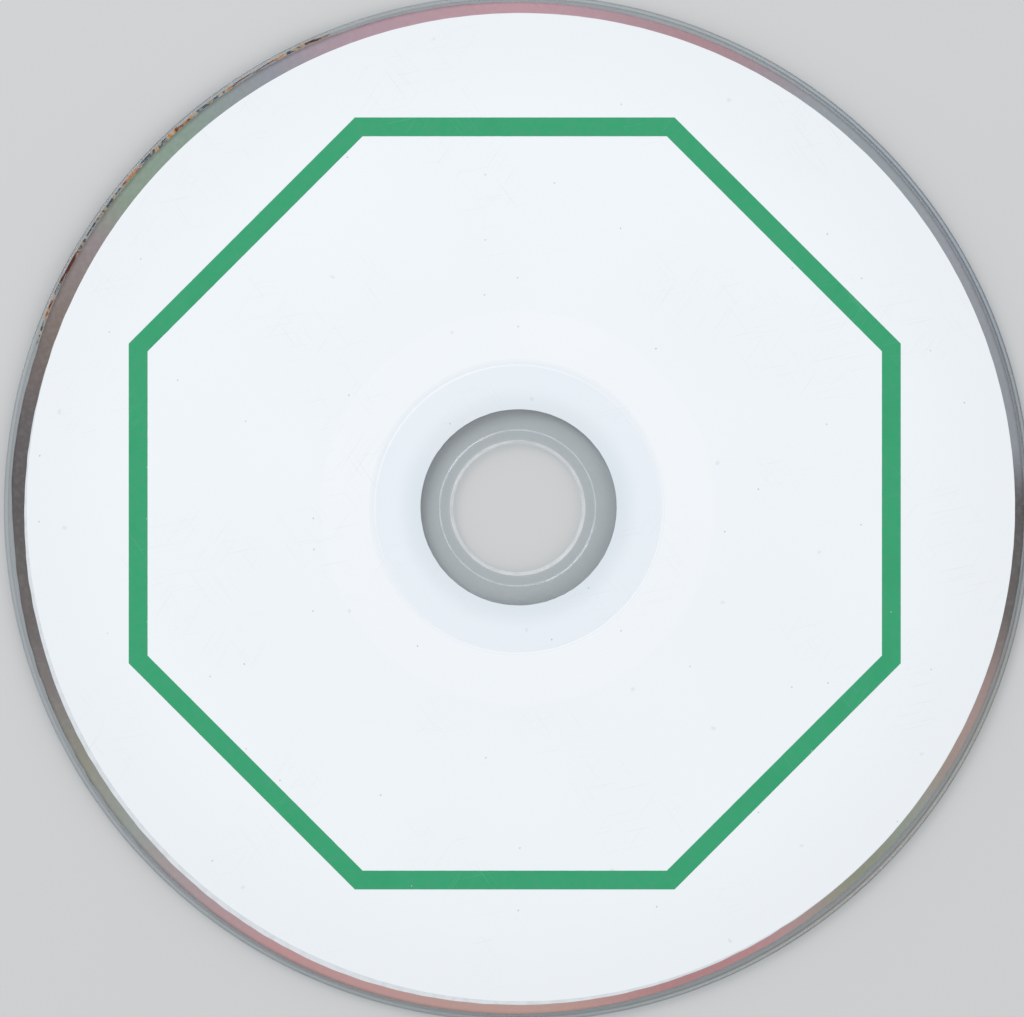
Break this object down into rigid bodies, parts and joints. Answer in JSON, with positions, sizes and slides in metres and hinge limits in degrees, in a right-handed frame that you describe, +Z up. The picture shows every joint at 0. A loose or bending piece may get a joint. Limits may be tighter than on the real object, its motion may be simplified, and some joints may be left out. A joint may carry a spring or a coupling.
{
  "type": "compact disc",
  "caption": "Round optical disc of clear plastic with a centre hole, a reflective film and a white printed label side with a green octagon outline.",
  "frame": {"origin": "on the disc's axis, in the plane that the stacking ring on the read side stands on", "axes": "+Z up out of the label side, +Y towards the top of the label as pictured, +X to its right"},
  "size_m": [0.12, 0.12, 0.0015],
  "materials": {
    "clear_polycarbonate": "polished clear moulding",
    "aluminium_film": "mirror film that splits light into colours",
    "grey_white_ink": "thin translucent screen print",
    "white_ink": "satin opaque screen print",
    "green_ink": "satin screen print"
  },
  "bodies": {
    "root": {"polycarbonate_disc": "clear_polycarbonate", "reflective_layer": "aluminium_film", "base_coat": "grey_white_ink", "white_coat": "white_ink", "octagon_band": "green_ink"}
  },
  "joints": []
}
